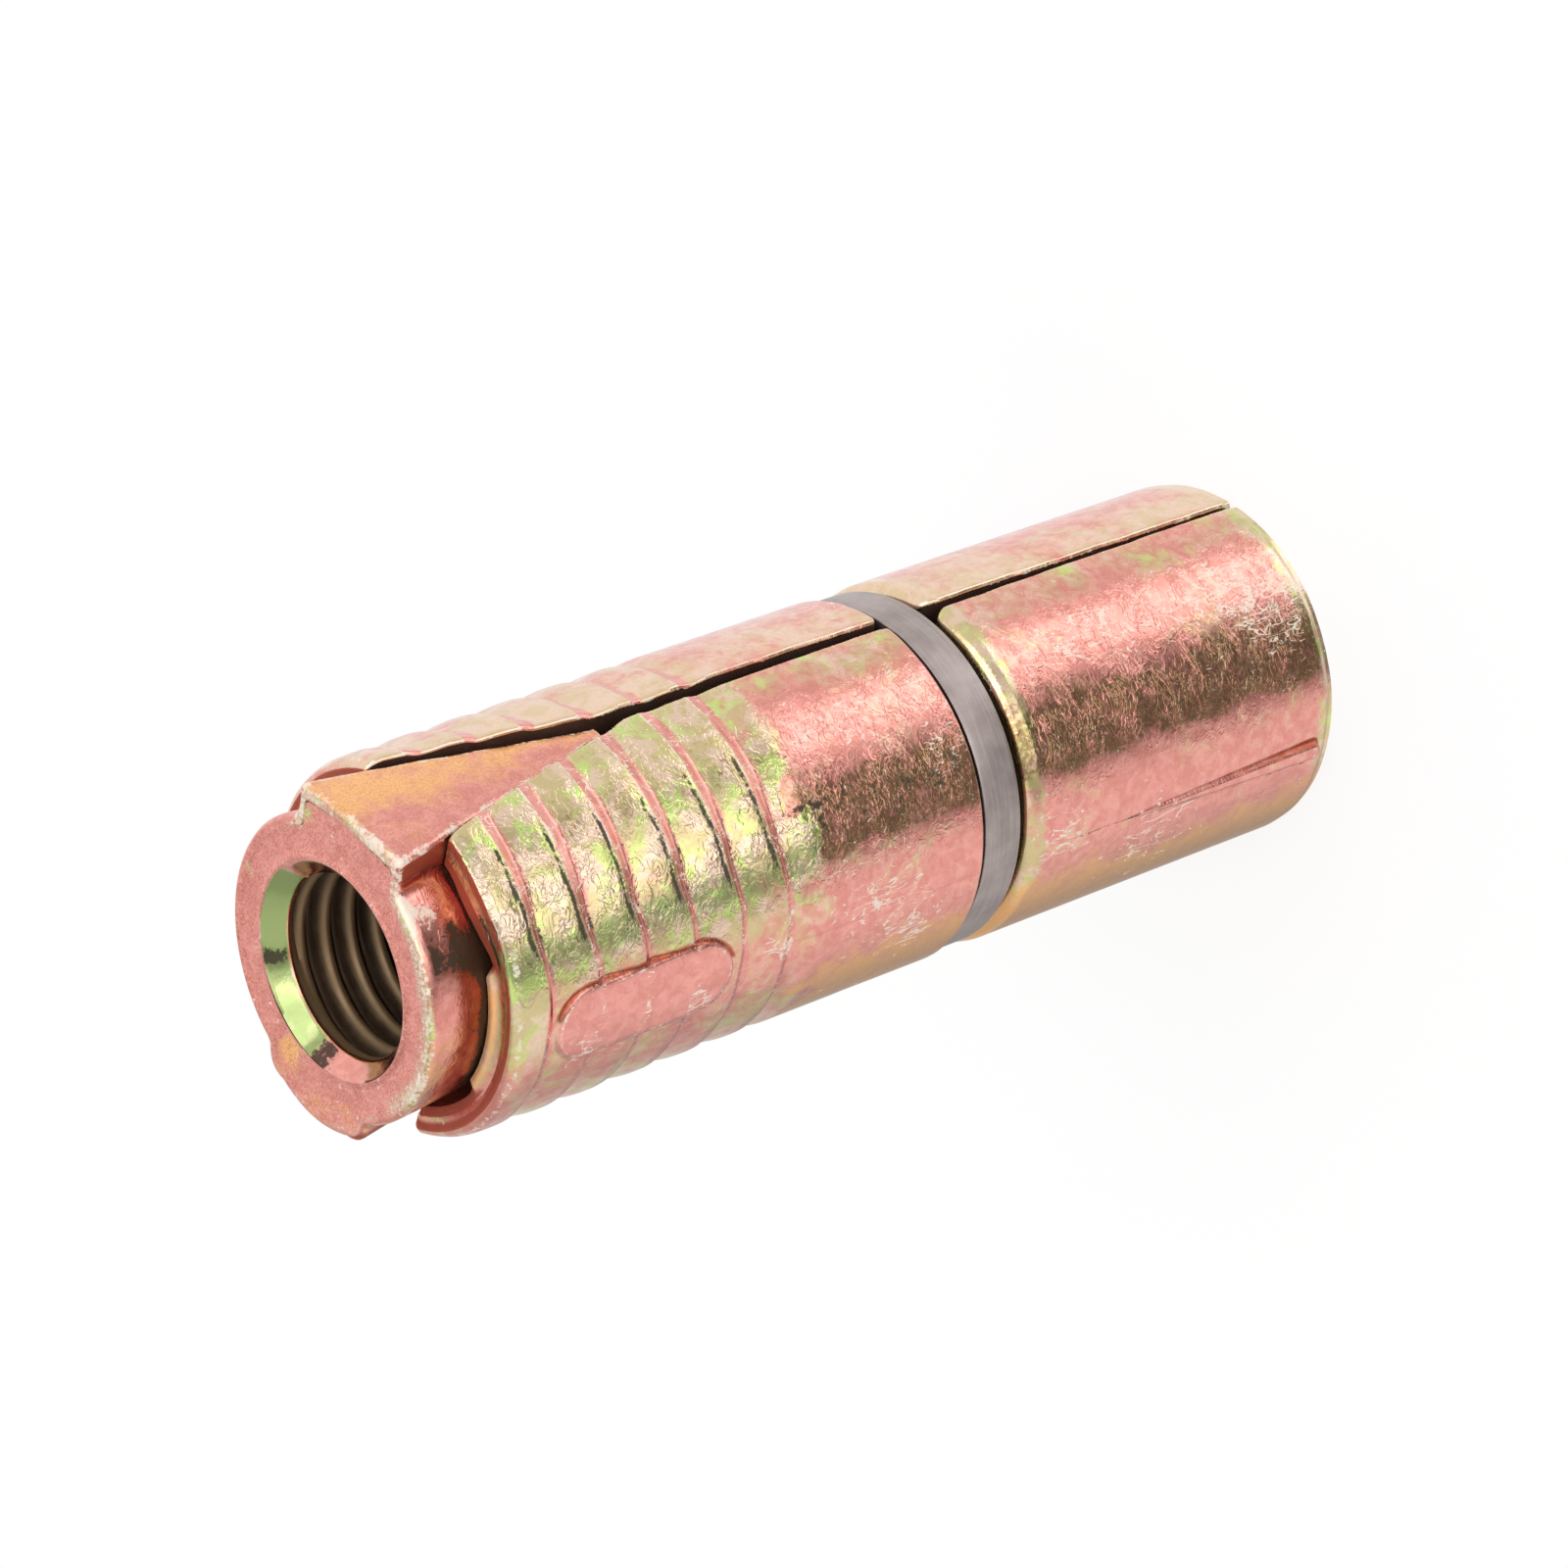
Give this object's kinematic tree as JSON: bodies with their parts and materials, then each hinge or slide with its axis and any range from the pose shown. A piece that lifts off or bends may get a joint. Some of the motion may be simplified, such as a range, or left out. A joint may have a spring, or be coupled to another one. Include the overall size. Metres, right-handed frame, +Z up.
{
  "type": "expansion anchor",
  "caption": "Machine-bolt expansion anchor: a keyed cone nut slides down its bolt and spreads a split, barbed shell held by a flat spring ring.",
  "frame": {"origin": "on the anchor's axis, at the flat rear end face that it stands on", "axes": "+Z runs up the axis from the rear end to the nut's front face; the splits of the shell lie on +X and -X; +Y is towards the far half"},
  "size_m": [0.022, 0.023, 0.067],
  "materials": {
    "zinc_nut": "yellow-chromate zinc plate on malleable iron, satin, rainbow tints of salmon and green",
    "zinc_near": "yellow-chromate zinc plate on malleable iron, satin, scratched pale on high spots",
    "zinc_far": "yellow-chromate zinc plate on malleable iron, satin, scratched pale on high spots",
    "steel_ring": "bare spring steel strip, brushed along its length"
  },
  "bodies": {
    "ring": {"retaining_ring": "steel_ring"},
    "near": {"shield_half_near": "zinc_near"},
    "far": {"shield_half_far": "zinc_far"},
    "nut": {"cone_nut": "zinc_nut"}
  },
  "joints": [
    {"name": "nut_slide", "type": "slide", "parent": "ring", "child": "nut", "axis": [0, 0, -1], "range_m": [0, 0.005]},
    {"name": "near_half_swing", "type": "hinge", "parent": "ring", "child": "near", "pos_m": [0, 0, 0], "axis": [1, 0, 0], "range_deg": [0, 1.3]},
    {"name": "far_half_swing", "type": "hinge", "parent": "ring", "child": "far", "pos_m": [0, 0, 0], "axis": [-1, 0, 0], "range_deg": [0, 1.3]}
  ],
  "couplings": [
    {"joint": "near_half_swing", "follows": "nut_slide", "rad_per_m": 4.5},
    {"joint": "far_half_swing", "follows": "nut_slide", "rad_per_m": 4.5}
  ]
}
